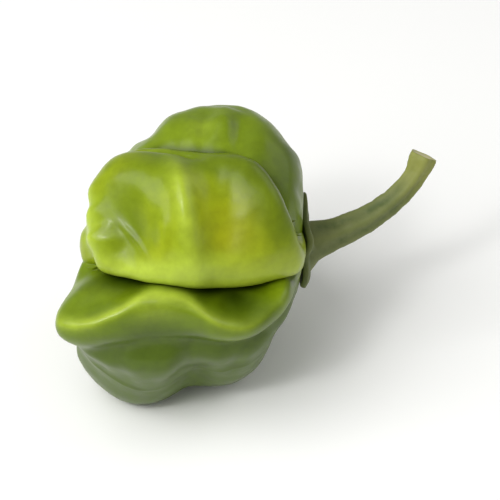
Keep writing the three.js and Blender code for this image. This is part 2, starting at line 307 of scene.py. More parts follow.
# The skin's slow waves, which mostly sink into it, and its finer ripples from another part of the noise.
SKIN_WAVE_SIZE = 7.0
SKIN_WAVE_SINK = 0.7
SKIN_RIPPLE_SIZE = 2.4
SKIN_RIPPLE_HEIGHT = 0.08
SKIN_RIPPLE_SHIFT = 50
SKIN_OCTAVES = 2

# How fast the noise's finer octaves weaken, and how much finer each is than the one before.
NOISE_FALL = 1.0
NOISE_STEP = 2.0

# Degrees from the stem end over which the fine relief comes up, beyond the calyx.
RELIEF_FROM_STEM = (22, 34)

# The bands over which the face's lip comes forward over the groove and the brim's crest goes back: how far
# above the groove and the crest each lies, its width, and its share of the lip's overhang.
LIP_FORWARD = (1.8, 1.44, 1)
CREST_BACK = (0, 1.8, 0.5)

# The calyx: its gap above the pod, its reach in degrees with its lobes, its height at the rim and in the
# middle, and the collar that the stalk grows from.
CALYX_GAP = 0.45
CALYX_ANGLE = 20
CALYX_LOBES = 5
CALYX_LOBE_SIZE = 3
CALYX_RIM = 0.9
CALYX_MIDDLE = 1.7
COLLAR_RADIUS = 3.7
COLLAR_STEP = 1.2

# Shares of the calyx's reach: where its underside starts, where its rim turns up, and where its top starts.
CALYX_UNDER_START = 0.1
CALYX_EDGE = 0.97
CALYX_TOP_START = 0.95

# How many degrees the rim turns down and up, how the top sweeps up inwards, and the ribs on the lobes.
CALYX_RIM_TURN = 80
CALYX_SWEEP = 1.6
CALYX_RIB_HEIGHT = 0.22
CALYX_RIB_SHARPNESS = 3
CALYX_RIB_HASTE = 1.1

# The stalk from the calyx out: its path, its radius along it, its ridges with their twist in radians, and the
# dish of its cut end. Shares run from 0 at the calyx to 1 at the cut.
STALK_PATH = ((0, 0, 0), (4.1, 1.0, 1.0), (9.1, 2.6, 2.8), (13.1, 4.4, 5.2), (16.1, 6.2, 8.2),
    (17.6, 7.8, 11.2))
STALK_RADIUS = ((0, 3.3), (0.12, 2.65), (0.35, 2.25), (0.6, 1.95), (0.86, 1.85), (0.97, 2.25), (1, 2.15))
STALK_RIDGES = 5
STALK_TWIST = 1.5
RIDGES_COME_UP = (0, 0.12)
CUT_END_DISH = 0.4
CUT_END_RINGS = (0.04, 0.3, 0.55, 0.8)

# The stalk's grain, which mostly sinks into it, from a third part of the noise.
GRAIN_SIZE = 1.8
GRAIN_SINK = 0.8
GRAIN_SHIFT = 90
GRAIN_OCTAVES = 3
GRAIN_COMES_UP = (0.02, 0.2)

# How pale the calyx's rim and ribs, the ridges, the outer end and the cut's edge are.
CALYX_RIM_PALE = 0.4
CALYX_RIB_PALE = 0.7
RIDGE_PALE = 0.6
TIP_PALE = 0.8
TIP_PALE_SPAN = (0.55, 0.95)
CUT_EDGE_PALE = 0.4

# The skin's pattern: the noise's width for a blotch one wide, a fleck's width as a share of a blotch's, the
# noise's values between which each turns over, and what the flecks do to the brightness and the gloss.
NOISE_PER_BLOTCH = 1.6
FLECK_SHARE = 0.25
BLOTCH_TURNOVER = (0.36, 0.64)
FLECK_TURNOVER = (0.3, 0.7)
FLECK_BRIGHTNESS = (0.88, 1.1)
FLECK_ROUGHNESS = (0.28, 0.42)
PIT_SIZE = 0.5
PIT_DEPTH = 0.06

# The stalk's pattern: the noise's values between which its mottle turns over, and its fibres.
MOTTLE_TURNOVER = (0.35, 0.65)
FIBRE_SIZE = 0.6
FIBRE_DEPTH = 0.12

# How finely the surfaces are divided; the last two strips lie below and above the brim, and the last one is
# never narrower than so many degrees.
POD_RINGS = 200
STRIP_COLUMNS = (64, 44, 40, 40, 40, 36, 28)
STRIP_CROWDING = 0.09
LEAST_STRIP = 3
COLUMNS_FROM_STEM = (0, 34)
COLUMNS_FROM_BLOSSOM = (0, 29)
STALK_COLUMNS = 120
STALK_RINGS = 130
STALK_PATH_STEPS = 60
CALYX_UNDER_RINGS = 14
CALYX_RIM_RINGS = 7
CALYX_TOP_RINGS = 24

# The stage in metres: where the camera looks, and each light's place and width.
CAMERA_AIM = (0, 0, 0.0205)
MAIN_LIGHT = ((-0.28, -0.16, 0.44), 0.5)
FILL_LIGHT = ((0.42, 0.2, 0.36), 0.4)
HIGHLIGHT_LIGHT = ((-0.24, -0.3, 0.42), 0.09)

# The sockets of a Mix node for colours, which shares their names with those for numbers.
MIX_SHARE = 0
MIX_FIRST = 6
MIX_SECOND = 7
MIX_RESULT = 2


def linear(hex_text):
    """An sRGB hex colour as linear RGBA."""
    parts = [int(hex_text[i:i + 2], 16) / 255 for i in (1, 3, 5)]
    return tuple(c / 12.92 if c <= 0.04045 else ((c + 0.055) / 1.055) ** 2.4 for c in parts) + (1.0,)


def wrap(angle):
    """The same angle between minus half a turn and half a turn."""
    return angle - TURN * np.round(angle / TURN)


def turned(angle):
    """The same angle between 0 and a whole turn."""
    return angle - TURN * np.floor(angle / TURN)


def rise(span, x):
    """A share that comes up smoothly from 0 to 1 over a span."""
    t = np.clip((x - span[0]) / (span[1] - span[0]), 0, 1)
    return t * t * (3 - 2 * t)


def bump(distance, width):
    """A share that is 1 at no distance and falls away smoothly on both sides."""
    return np.exp(-((distance / width) ** 2))


def band(distance, place):
    """A soft band beside a line: place is how far from it the band runs, its width and its strength."""
    off, width, strength = place
    return strength * bump(distance - off, width)


def along(knots, t):
    """A smooth curve through (t, value) knots."""
    x, y = np.array(knots, dtype=float).T
    slope = np.empty_like(y)
    slope[1:-1] = (y[2:] - y[:-2]) / (x[2:] - x[:-2])
    slope[0] = (y[1] - y[0]) / (x[1] - x[0])
    slope[-1] = (y[-1] - y[-2]) / (x[-1] - x[-2])
    t = np.clip(t, x[0], x[-1])
    i = np.clip(np.searchsorted(x, t, side="right") - 1, 0, len(x) - 2)
    h = x[i + 1] - x[i]
    u = (t - x[i]) / h
    return ((1 + 2 * u) * (1 - u) ** 2 * y[i] + u * (1 - u) ** 2 * h * slope[i]
            + u * u * (3 - 2 * u) * y[i + 1] + u * u * (u - 1) * h * slope[i + 1])


# The pod's axis points from the blossom end to the stem end; front and side stand across it.
AXIS = np.array((
    math.cos(AXIS_TURN * DEG) * math.cos(AXIS_DIP * DEG),
    math.sin(AXIS_TURN * DEG) * math.cos(AXIS_DIP * DEG),
    -math.sin(AXIS_DIP * DEG),
))
FACING = np.array((0, -math.cos(FACE_UP * DEG), math.sin(FACE_UP * DEG)))
FRONT = FACING - AXIS * (FACING @ AXIS)
FRONT = FRONT / np.linalg.norm(FRONT)
SIDE = np.cross(FRONT, AXIS)


def direction(theta, phi):
    """The way from the pod's middle to a place on it."""
    theta, phi = np.broadcast_arrays(theta, phi)
    return (np.cos(theta)[..., None] * AXIS + (np.sin(theta) * np.cos(phi))[..., None] * FRONT
            + (np.sin(theta) * np.sin(phi))[..., None] * SIDE)


def away_from_ends(from_stem, from_blossom, theta):
    """A share that comes up from 0 at both of the pod's ends, over the given degrees."""
    return rise(from_stem, theta / DEG) * rise(from_blossom, 180 - theta / DEG)


def crease_angle(index, theta):
    """The angle phi at which a crease runs."""
    return along(CREASES[index][0], theta / DEG) * DEG


def lobe_height(theta, phi):
    """The lobes and the creases between them."""
    degrees = theta / DEG
    height = np.zeros(np.broadcast(theta, phi).shape)
    for i, (swell, lean) in enumerate(LOBES):
        after = (i + 1) % len(CREASES)
        start = crease_angle(i, theta)
        share = turned(phi - start) / turned(crease_angle(after, theta) - start)
        q = np.clip(share, 0, 1)
        depth = along(CREASES[i][1], degrees) * (1 - q) + along(CREASES[after][1], degrees) * q
        full = swell + lean * np.cos(theta)
        lobe = full * np.sin(math.pi * q) ** 2 - depth * np.abs(2 * q - 1) ** CREASE_SHARPNESS
        height = np.where(share < 1, lobe, height)
    return height


def across_body(theta):
    """Millimetres round the pod for each radian of phi, for the widths of folds."""
    return BODY_RADIUS * np.maximum(np.sin(theta), LEAST_GIRTH)


def middle_of_body(theta):
    """A share that is 1 where the folds are whole and 0 at the pod's ends."""
    return away_from_ends(FOLDS_FROM_STEM, FOLDS_FROM_BLOSSOM, theta)


def from_crease(index, theta, phi):
    """Millimetres round the pod from a crease's line; crease 0 is the groove under the face."""
    return wrap(phi - crease_angle(index, theta)) * across_body(theta)


def from_brim(theta, phi):
    """Millimetres round the pod from the brim's crest."""
    return wrap(phi - along(BRIM_LINE, theta / DEG) * DEG) * across_body(theta)


def fold_height(theta, phi):
    """The brim, the groove above it and the hollow under it."""
    middle = middle_of_body(theta)
    off = from_brim(theta, phi)
    side = np.where(off > 0, (off / BRIM_ABOVE) ** 2, np.abs(off / BRIM_BELOW) ** BRIM_BELOW_POWER)
    from_hollow = wrap(phi - along(HOLLOW_LINE, theta / DEG) * DEG) * across_body(theta)
    return (along(BRIM_HEIGHT, theta / DEG) * np.exp(-side)
            - GROOVE_DEPTH * bump(from_crease(0, theta, phi), GROOVE_WIDTH) * middle
            - HOLLOW_DEPTH * bump(from_hollow, HOLLOW_WIDTH) * middle)


def end_height(theta, phi):
    """The cushion and the scar at the blossom end, and the hollow at the stem end."""
    from_stem = theta / DEG
    from_blossom = 180 - from_stem
    ring = CUSHION_ANGLE + sum(size * np.sin(count * phi + start) for count, size, start in CUSHION_WAVES)
    knobs = KNOB_HEIGHT * np.sin(KNOB_COUNT * phi + KNOB_START)
    return (knobs * bump(from_blossom - KNOB_ANGLE, KNOB_WIDTH)
            - CUSHION_GROOVE * bump(from_blossom - ring, CUSHION_GROOVE_WIDTH)
            - SCAR_DEPTH * bump(from_blossom, SCAR_WIDTH)
            - STEM_HOLLOW_DEPTH * bump(from_stem, STEM_HOLLOW_WIDTH))


def spot_height(spots, theta, phi):
    """The summed height of spots, each an oval hump or dent."""
    height = 0
    for spot_theta, spot_phi, tall, half_along, half_round, turn in spots:
        a = (theta - spot_theta * DEG) * BODY_RADIUS
        b = wrap(phi - spot_phi * DEG) * np.sin(theta) * BODY_RADIUS
        c = math.cos(turn * DEG)
        s = math.sin(turn * DEG)
        height = height + tall * bump(a * c + b * s, half_along) * bump(b * c - a * s, half_round)
    return height


def spot_share(picks, theta, phi):
    """How strongly the colour of the picked spots shows, whatever their heights."""
    return sum(strength * spot_height((SPOTS[i],), theta, phi) / SPOTS[i][2] for i, strength in picks)


def pod_radius(theta, phi):
    """The pod's surface as the CAD model has it: millimetres from its middle."""
    stem_side = theta < math.pi / 2
    half = np.where(stem_side, STEM_HALF_LENGTH, BLOSSOM_HALF_LENGTH)
    n = np.where(stem_side, STEM_SQUARENESS, BLOSSOM_SQUARENESS)
    plain = (np.abs(np.cos(theta) / half) ** n + np.abs(np.sin(theta) / BODY_RADIUS) ** n) ** (-1 / n)
    lobes = lobe_height(theta, phi) * away_from_ends(LOBES_FROM_STEM, LOBES_FROM_BLOSSOM, theta)
    return plain + lobes + fold_height(theta, phi) + end_height(theta, phi) + spot_height(SPOTS, theta, phi)


def end_radius(theta):
    """How far the pod reaches at one of its ends, where phi doesn't matter."""
    return float(pod_radius(np.array(theta, dtype=float), np.array(0.0)))


def relief(points, size, octaves):
    """Smooth noise from about -1 to 1 at each point, with features of that size in millimetres."""
    flat = points.reshape(-1, 3) / size
    values = [noise.fractal(Vector(p), NOISE_FALL, NOISE_STEP, octaves) for p in flat]
    return np.array(values).reshape(points.shape[:-1])


def closed_surface(name, start, rings, end, marks):
    """A mesh of rings closed by a point at each end, with marks: named values for the rings' points."""
    count, columns = rings.shape[:2]
    points = np.vstack([start, rings.reshape(-1, 3), end]) * MM
    last = len(points) - 1
    c = np.arange(columns)
    d = (c + 1) % columns
    at = 1 + np.arange(count)[:, None] * columns
    quads = np.stack([at[:-1] + c, at[:-1] + d, at[1:] + d, at[1:] + c], axis=-1).reshape(-1, 4)
    caps = [(0, 1 + d[i], 1 + c[i]) for i in range(columns)]
    caps += [(last, at[-1, 0] + c[i], at[-1, 0] + d[i]) for i in range(columns)]
    mesh = bpy.data.meshes.new(name)
    mesh.from_pydata(points.tolist(), [], quads.tolist() + np.array(caps).tolist())
    for mark, values in marks.items():
        layer = mesh.attributes.new(mark, "FLOAT", "POINT")
        flat = np.concatenate([[values[0].mean()], values.reshape(-1), [values[-1].mean()]])
        layer.data.foreach_set("value", flat.astype(np.float32))
    mesh.shade_smooth()
    piece = bpy.data.objects.new(name, mesh)
    bpy.context.scene.collection.objects.link(piece)
    return piece


def node(tree, kind, inputs=None, **settings):
    """Adds a node with its settings; each of its inputs gets a value or a link from another node's socket."""
    made = tree.nodes.new(kind)
    for key, value in settings.items():
        setattr(made, key, value)
    for key, value in (inputs or {}).items():
        if isinstance(value, bpy.types.NodeSocket):
            tree.links.new(value, made.inputs[key])
        else:
            made.inputs[key].default_value = value
    return made


def new_material(name):
    """A material with no nodes yet."""
    made = bpy.data.materials.new(name)
    made.use_nodes = True
    made.node_tree.nodes.clear()
    return made


def painted(tree, color, coats):
    """A colour with coats laid over it in turn, each a share and the colour that shows where it is 1."""
    for share, coat in coats:
        inputs = {MIX_SHARE: share, MIX_FIRST: color, MIX_SECOND: coat}
        color = node(tree, "ShaderNodeMix", inputs, data_type="RGBA").outputs[MIX_RESULT]
    return color


def fresh_pepper_skin(settings):
    """Waxy skin of a fresh unripe pepper: thin, taut and glossy, with the flesh glowing a little through it.

    The face is lime where it starts to ripen and the other lobes are leaf green, both in soft blotches. The
    tops of the folds and ridges carry painted highlights, the creases, the groove and patches by the stem end
    carry painted shade, the face's dents are greener partly in their own colour and partly as painted shade,
    and the side below the brim is olive, partly its own colour and partly painted shade.
    """
    made = new_material("fresh pepper skin")
    tree = made.node_tree
    place = node(tree, "ShaderNodeTexCoord").outputs["Object"]
    marks = {name: node(tree, "ShaderNodeAttribute", attribute_name=name).outputs["Fac"]
             for name in ("painted_shade", "crown", "dent_and_shade", "crest", "blush", "olive_and_shade", "scar")}
    blotches = node(tree, "ShaderNodeTexNoise", {
        "Vector": place,
        "Scale": 1 / (settings.blotch_size * NOISE_PER_BLOTCH),
        "Detail": 3.0,
        "Roughness": 0.55,
    }).outputs[0]
    blotched = node(tree, "ShaderNodeMapRange", {
        "Value": blotches,
        "From Min": BLOTCH_TURNOVER[0],
        "From Max": BLOTCH_TURNOVER[1],
    }, interpolation_type="SMOOTHSTEP").outputs[0]
    face = painted(tree, settings.ripe_lime, (
        (blotched, settings.lime),
        # Greener dents, partly their own colour and partly painted shade, and patches of painted shade.
        (marks["dent_and_shade"], settings.dent_and_shade_green),
        (marks["blush"], settings.blush),
    ))
    lobes = painted(tree, settings.leaf_green, (
        (blotched, settings.dull_leaf_green),
        # The olive side below the brim, partly its own colour and partly painted shade.
        (marks["olive_and_shade"], settings.olive),
    ))
    color = painted(tree, lobes, (
        (marks["crown"], face),
        # Painted highlights on the tops of folds, ridges and rims.
        (marks["crest"], settings.highlight_lime),
        # Painted shade in the creases, the groove and beside the stem end.
        (marks["painted_shade"], settings.crease_shade_green),
        (marks["scar"], settings.scar_brown),
    ))
    flecks = node(tree, "ShaderNodeTexNoise", {
        "Vector": place,
        "Scale": 1 / (settings.blotch_size * FLECK_SHARE),
        "Detail": 3.0,
        "Roughness": 0.6,
    }).outputs[0]
    brightness, roughness = (
        node(tree, "ShaderNodeMapRange", {
            "Value": flecks,
            "From Min": FLECK_TURNOVER[0],
            "From Max": FLECK_TURNOVER[1],
            "To Min": low,
            "To Max": high,
        }).outputs[0]
        for low, high in (FLECK_BRIGHTNESS, FLECK_ROUGHNESS)
    )
    flecked = node(tree, "ShaderNodeHueSaturation", {"Color": color, "Value": brightness}).outputs[0]
    # Pits of the skin's cells, drawn far coarser than they are so that they show.
    pits = node(tree, "ShaderNodeTexNoise", {
        "Vector": place,
        "Scale": 1 / (PIT_SIZE * MM),
        "Detail": 1.0,
    }).outputs[0]
    pitted = node(tree, "ShaderNodeBump", {
        "Height": pits,
        "Strength": 0.14,
        "Distance": PIT_DEPTH * MM,
    }).outputs[0]
    skin = node(tree, "ShaderNodeBsdfPrincipled", {
        "Base Color": flecked,
        "Roughness": roughness,
        "Normal": pitted,
        "IOR": 1.45,
        "Specular IOR Level": 0.3,
        "Subsurface Weight": 0.1,
        "Subsurface Radius": (1.0, 1.1, 0.25),
        "Subsurface Scale": 0.0015,
        "Coat Weight": 0.12,
        "Coat Roughness": 0.14,
    })
    node(tree, "ShaderNodeOutputMaterial", {"Surface": skin.outputs[0]})
    return made


def dull_green_stalk(settings):
    """Green stalk and calyx of a picked pepper: matte, grey-green and fibrous, with paler ridges and cut."""
    made = new_material("picked green stalk")
    tree = made.node_tree
    place = node(tree, "ShaderNodeTexCoord").outputs["Object"]
    marks = {name: node(tree, "ShaderNodeAttribute", attribute_name=name).outputs["Fac"]
             for name in ("ridge", "tip", "cut")}
    mottle = node(tree, "ShaderNodeTexNoise", {
        "Vector": place,
        "Scale": 1 / settings.mottle_size,
        "Detail": 4.0,
        "Roughness": 0.6,
    }).outputs[0]
    mottled = node(tree, "ShaderNodeMapRange", {
        "Value": mottle,
        "From Min": MOTTLE_TURNOVER[0],
        "From Max": MOTTLE_TURNOVER[1],
    }, interpolation_type="SMOOTHSTEP").outputs[0]
    color = painted(tree, settings.grey_green, (
        (mottled, settings.dark_green),
        (marks["ridge"], settings.ridge_green),
        (marks["tip"], settings.tip_green),
        (marks["cut"], settings.cut_face),
    ))
    # The fibres under the stalk's skin, drawn coarser than they are so that they show.
    fibres = node(tree, "ShaderNodeTexNoise", {
        "Vector": place,
        "Scale": 1 / (FIBRE_SIZE * MM),
        "Detail": 3.0,
    }).outputs[0]
    fibrous = node(tree, "ShaderNodeBump", {
        "Height": fibres,
        "Strength": 0.35,
        "Distance": FIBRE_DEPTH * MM,
    }).outputs[0]
    stalk = node(tree, "ShaderNodeBsdfPrincipled", {
        "Base Color": color,
        "Normal": fibrous,
        "IOR": 1.4,
        "Roughness": 0.58,
        "Subsurface Weight": 0.06,
        "Subsurface Radius": (1.0, 1.1, 0.4),
        "Subsurface Scale": 0.001,
    })
    node(tree, "ShaderNodeOutputMaterial", {"Surface": stalk.outputs[0]})
    return made


def matte_paper(settings):
    """Sweep of uncoated paper under and behind the pepper: white and matte, with no sheen."""
    made = new_material("matte white paper")
    tree = made.node_tree
    paper = node(tree, "ShaderNodeBsdfPrincipled", {
        "Base Color": settings.floor_color,
        "Roughness": 0.9,
        "Specular IOR Level": 0.2,
    })
    node(tree, "ShaderNodeOutputMaterial", {"Surface": paper.outputs[0]})
    return made


def pod_columns(theta):
    """Angles that follow the creases and the brim over most of the pod and spread evenly at its two ends."""
    follow = away_from_ends(COLUMNS_FROM_STEM, COLUMNS_FROM_BLOSSOM, theta)
    lines = [crease_angle(i, theta) for i in range(len(CREASES))]
    lines.append(min(along(BRIM_LINE, theta / DEG) * DEG, lines[0] - LEAST_STRIP * DEG))
    total = sum(STRIP_COLUMNS)
    first = CREASES[0][0][0][1] * DEG
    angles = []
    for strip, columns in enumerate(STRIP_COLUMNS):
        start = lines[strip]
        width = turned(lines[(strip + 1) % len(lines)] - start)
        c = np.arange(columns)
        share = c / columns - STRIP_CROWDING * np.sin(TURN * c / columns)
        even = first + TURN * (sum(STRIP_COLUMNS[:strip]) + c) / total
        angles.append(even + wrap(start + width * share - even) * follow)
    return np.concatenate(angles)


def pod_grid():
    """The angles theta and phi of the pod's rings."""
    theta = np.linspace(0, math.pi, POD_RINGS + 1)[1:-1, None]
    phi = np.array([pod_columns(t) for t in theta[:, 0]])
    return np.broadcast_to(theta, phi.shape), phi


def pod_middle():
    """The pod's middle in the frame, so that its plain surface lies in the CAD pod's box up to its top."""
    theta, phi = pod_grid()
    points = (direction(theta, phi) * pod_radius(theta, phi)[..., None]).reshape(-1, 3)
    low, high = points.min(axis=0), points.max(axis=0)
    box_low, box_high = (np.array(corner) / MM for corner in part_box("pod"))
    middle = (box_low + box_high - low - high) / 2
    middle[2] = box_high[2] - high[2]
    return middle


def pucker_folds(height):
    """Small folds along the pod near its two ends, as in SMALL_FOLDS."""
    draw = np.random.default_rng(PUCKER_SEED)
    folds = []
    for count, (low, high) in ((STEM_PUCKERS, STEM_PUCKER_SPAN), (BLOSSOM_PUCKERS, BLOSSOM_PUCKER_SPAN)):
        for i in range(count):
            phi = 360 * (i + draw.uniform(-PUCKER_SCATTER, PUCKER_SCATTER)) / count
            start = low + draw.uniform(0, PUCKER_LATE_START)
            stop = high - draw.uniform(0, PUCKER_EARLY_STOP)
            bend = draw.uniform(-PUCKER_BEND, PUCKER_BEND)
            tall = height * draw.choice((-1, 1)) * draw.uniform(*PUCKER_HEIGHTS)
            line = ((start, phi), ((start + stop) / 2, phi + bend), (stop, phi + PUCKER_CURL * bend))
            folds.append((line, tall, PUCKER_WIDTH * draw.uniform(*PUCKER_WIDTHS)))
    return folds


def small_fold_height(theta, phi, pucker_height):
    """The small folds' height, each fading out at its two ends."""
    degrees = theta / DEG
    height = 0
    for line, tall, width in SMALL_FOLDS + tuple(pucker_folds(pucker_height)):
        off = wrap(phi - along(line, degrees) * DEG) * across_body(theta)
        start = line[0][0]
        stop = line[-1][0]
        comes = rise((start, start + SMALL_FOLD_FADE), degrees)
        goes = rise((-stop, SMALL_FOLD_FADE - stop), -degrees)
        height = height + tall * bump(off, width) * (comes * goes)
    return height


def pod_points(theta, phi, settings):
    """The pod's surface with its fine relief and its lip."""
    degrees = theta / DEG
    lip = band(from_crease(0, theta, phi), LIP_FORWARD) - band(from_brim(theta, phi), CREST_BACK)
    lip = settings.lip_overhang / MM * middle_of_body(theta) * lip
    ball = direction(theta, phi) * BODY_RADIUS
    skin = settings.wave_height / MM * (relief(ball, SKIN_WAVE_SIZE, SKIN_OCTAVES) - SKIN_WAVE_SINK)
    skin = skin + SKIN_RIPPLE_HEIGHT * relief(ball + SKIN_RIPPLE_SHIFT, SKIN_RIPPLE_SIZE, SKIN_OCTAVES)
    skin = skin + small_fold_height(theta, phi, settings.pucker_height / MM)
    skin = skin + spot_height(SMALL_SPOTS, theta, phi)
    radius = pod_radius(theta, phi) + skin * rise(RELIEF_FROM_STEM, degrees)
    return direction(theta, phi - lip / across_body(theta)) * radius[..., None] + pod_middle()


def skin_marks(theta, phi):
    """Values from 0 to 1 over the pod that its material reads."""
    degrees = theta / DEG
    middle = middle_of_body(theta)
    groove = from_crease(0, theta, phi)
    brim = from_brim(theta, phi)
    # Painted shade in the creases and the groove, kept off the brim's crest, in patches beside the stem end
    # and in the groove's pocket.
    shades = []
    for i in range(1, len(CREASES)):
        depth = along(CREASES[i][1], degrees)
        shades.append(np.clip(depth / SHADE_CREASE, 0, 1) * band(from_crease(i, theta, phi), CREASE_SHADE))
    shades.append(band(groove, GROOVE_SHADE) * (1 - band(brim, CREST_CLEARING)))
    shades.append(spot_height(SHADE_PATCHES, theta, phi))
    shades.append(spot_share(SHADE_SPOTS, theta, phi))
    shade = np.max(shades, axis=0) * away_from_ends(SHADE_FROM_END, SHADE_FROM_END, theta)
    face = (rise(FACE_EDGE, groove) * rise(FACE_EDGE, -from_crease(1, theta, phi))
            * rise(FACE_FROM_STEM, degrees))
    # The face's dents, greener partly in their own colour and partly as painted shade, and patches of painted
    # shade in a greener colour.
    green = spot_share(GREEN_SPOTS, theta, phi) + spot_height(GREEN_SHADE_PATCHES, theta, phi)
    # Painted highlights on the tops of swellings, along the brim's crest and the lip, and in patches on the
    # rim and the brim.
    tops = np.clip(spot_share(HIGHLIGHT_SPOTS, theta, phi), 0, 1) ** TOP_HIGHLIGHT_SHARPNESS
    crest = CREST_HIGHLIGHT_START + CREST_HIGHLIGHT_GAIN * rise(CREST_HIGHLIGHT_SPAN, degrees)
    highlight = (band(brim, CREST_HIGHLIGHT) * middle * crest + band(groove, LIP_HIGHLIGHT) * middle
            + TOP_HIGHLIGHT * tops * face + spot_height(HIGHLIGHT_PATCHES, theta, phi))
    blush = (bump(degrees - BLUSH_PLACE[0], BLUSH_REACH[0])
             * bump(wrap(phi - BLUSH_PLACE[1] * DEG) / DEG, BLUSH_REACH[1]))
    return {
        "painted_shade": np.clip(shade, 0, 1),
        "crown": face,
        "dent_and_shade": np.clip(green, 0, 1) * face,
        "crest": np.clip(highlight, 0, 1),
        "blush": BLUSH_STRENGTH * blush * face,
        # The olive side below the brim, partly its own colour and partly painted shade.
        "olive_and_shade": rise(OLIVE_BELOW_BRIM, -brim) * rise(OLIVE_BELOW_GROOVE, -groove),
        "scar": bump(180 - degrees, SCAR_REACH),
    }


def stalk_frames():
    """Points along the stalk with the directions across it, carried on without twist."""
    base = end_radius(0) + CALYX_GAP + CALYX_MIDDLE + COLLAR_STEP
    knots = np.array(STALK_PATH) + AXIS * base
    knots = np.vstack([2 * knots[0] - knots[1], knots, 2 * knots[-1] - knots[-2]])
    dense = []
    for p, q, r, s in zip(knots, knots[1:], knots[2:], knots[3:]):
        t = np.linspace(0, 1, STALK_PATH_STEPS, endpoint=False)[:, None]
        spans = [math.sqrt(np.linalg.norm(b - a)) for a, b in ((p, q), (q, r), (r, s))]
        leave = ((q - p) / spans[0] - (r - p) / (spans[0] + spans[1]) + (r - q) / spans[1]) * spans[1]
        reach = ((r - q) / spans[1] - (s - q) / (spans[1] + spans[2]) + (s - r) / spans[2]) * spans[1]
        dense.append((2 * t ** 3 - 3 * t ** 2 + 1) * q + (t ** 3 - 2 * t ** 2 + t) * leave
                     + (3 * t ** 2 - 2 * t ** 3) * r + (t ** 3 - t ** 2) * reach)
    dense = np.vstack(dense + [knots[-2][None]])
    length = np.concatenate([[0], np.cumsum(np.linalg.norm(np.diff(dense, axis=0), axis=1))])
    share = np.linspace(0, 1, STALK_RINGS + 1)
    points = np.stack([np.interp(share * length[-1], length, dense[:, i]) for i in range(3)], axis=1)
    ahead = np.gradient(points, axis=0)
    ahead /= np.linalg.norm(ahead, axis=1)[:, None]
    across = FRONT
    frames = []
    for t, point, way in zip(share, points, ahead):
        across = across - way * (across @ way)
        across = across / np.linalg.norm(across)
        frames.append((t, point, way, across, np.cross(across, way)))
    return frames


def calyx_ring(phi, share, height):
    """A ring of the calyx, a share of the way out to its lobed edge, at a height above its underside."""
    edge = (CALYX_ANGLE + CALYX_LOBE_SIZE * np.cos(CALYX_LOBES * phi)) * DEG
    theta = edge * share
    return direction(theta, phi) * (pod_radius(theta, phi) + CALYX_GAP + height)[:, None]


def calyx_rings(phi):
    """Rings over the underside of the calyx, round its rim and up its top, and how pale each is."""
    lobe = 0.5 + 0.5 * np.cos(CALYX_LOBES * phi)
    collar = COLLAR_RADIUS / end_radius(0) / (CALYX_ANGLE * DEG)
    rings = []
    pales = []
    for share in np.linspace(CALYX_UNDER_START, CALYX_EDGE, CALYX_UNDER_RINGS):
        rings.append(calyx_ring(phi, share, 0))
        pales.append(np.zeros_like(phi))
    for turn in np.linspace(-CALYX_RIM_TURN, CALYX_RIM_TURN, CALYX_RIM_RINGS) * DEG:
        share = CALYX_EDGE + (1 - CALYX_EDGE) * math.cos(turn)
        rings.append(calyx_ring(phi, share, CALYX_RIM * (0.5 + 0.5 * math.sin(turn))))
        pales.append(np.full_like(phi, CALYX_RIM_PALE))
    for share in np.linspace(CALYX_TOP_START, collar, CALYX_TOP_RINGS):
        inward = (CALYX_EDGE - share) / (CALYX_EDGE - collar)
        rib = lobe ** CALYX_RIB_SHARPNESS
        ribs = CALYX_RIB_HEIGHT * rib * math.sin(math.pi * min(inward * CALYX_RIB_HASTE, 1))
        top = CALYX_RIM + (CALYX_MIDDLE - CALYX_RIM) * inward ** CALYX_SWEEP
        rings.append(calyx_ring(phi, share, top + ribs))
        pales.append(CALYX_RIB_PALE * rib)
    return rings, pales


def calyx_and_stalk_points(settings):
    """Rings over the calyx, along the stalk and in over its cut, with their marks and the cut's middle."""
    phi = TURN * np.arange(STALK_COLUMNS) / STALK_COLUMNS
    rings, pales = calyx_rings(phi)
    on_stalk = len(rings)
    frames = stalk_frames()
    for t, point, way, across, up in frames:
        ridge = np.cos(STALK_RIDGES * phi + STALK_TWIST * t)
        radius = along(STALK_RADIUS, t) + settings.ridge_height / MM * ridge * rise(RIDGES_COME_UP, t)
        rings.append(point + across * (radius * np.cos(phi))[:, None] + up * (radius * np.sin(phi))[:, None])
        pales.append(0.5 + 0.5 * ridge)
    tip = frames[-1][1]
    way = frames[-1][2]
    face = rings[-1]
    for inward in CUT_END_RINGS:
        dish = CUT_END_DISH * (1 - (1 - inward) ** 2)
        rings.append(face * (1 - inward) + tip * inward - way * dish)
        pales.append(np.zeros_like(phi))
    rings = np.array(rings)
    on_cut = on_stalk + len(frames)
    share = np.zeros(rings.shape[:2])
    share[on_stalk:on_cut] = np.linspace(0, 1, len(frames))[:, None]
    share[on_cut:] = 1
    cut = np.zeros_like(share)
    cut[on_cut] = CUT_EDGE_PALE
    cut[on_cut + 1:] = 1
    outward = rings - rings.mean(axis=1)[:, None]
    outward /= np.linalg.norm(outward, axis=2)[..., None]
    grain = relief(rings + GRAIN_SHIFT, GRAIN_SIZE, GRAIN_OCTAVES) - GRAIN_SINK
    grain = settings.grain_height / MM * grain
    middle = pod_middle()
    rings = rings + outward * (grain * rise(GRAIN_COMES_UP, share))[..., None] + middle
    marks = {
        "ridge": np.clip(np.array(pales) * RIDGE_PALE, 0, 1),
        "tip": TIP_PALE * rise(TIP_PALE_SPAN, share),
        "cut": cut,
    }
    return rings, marks, tip - way * CUT_END_DISH + middle


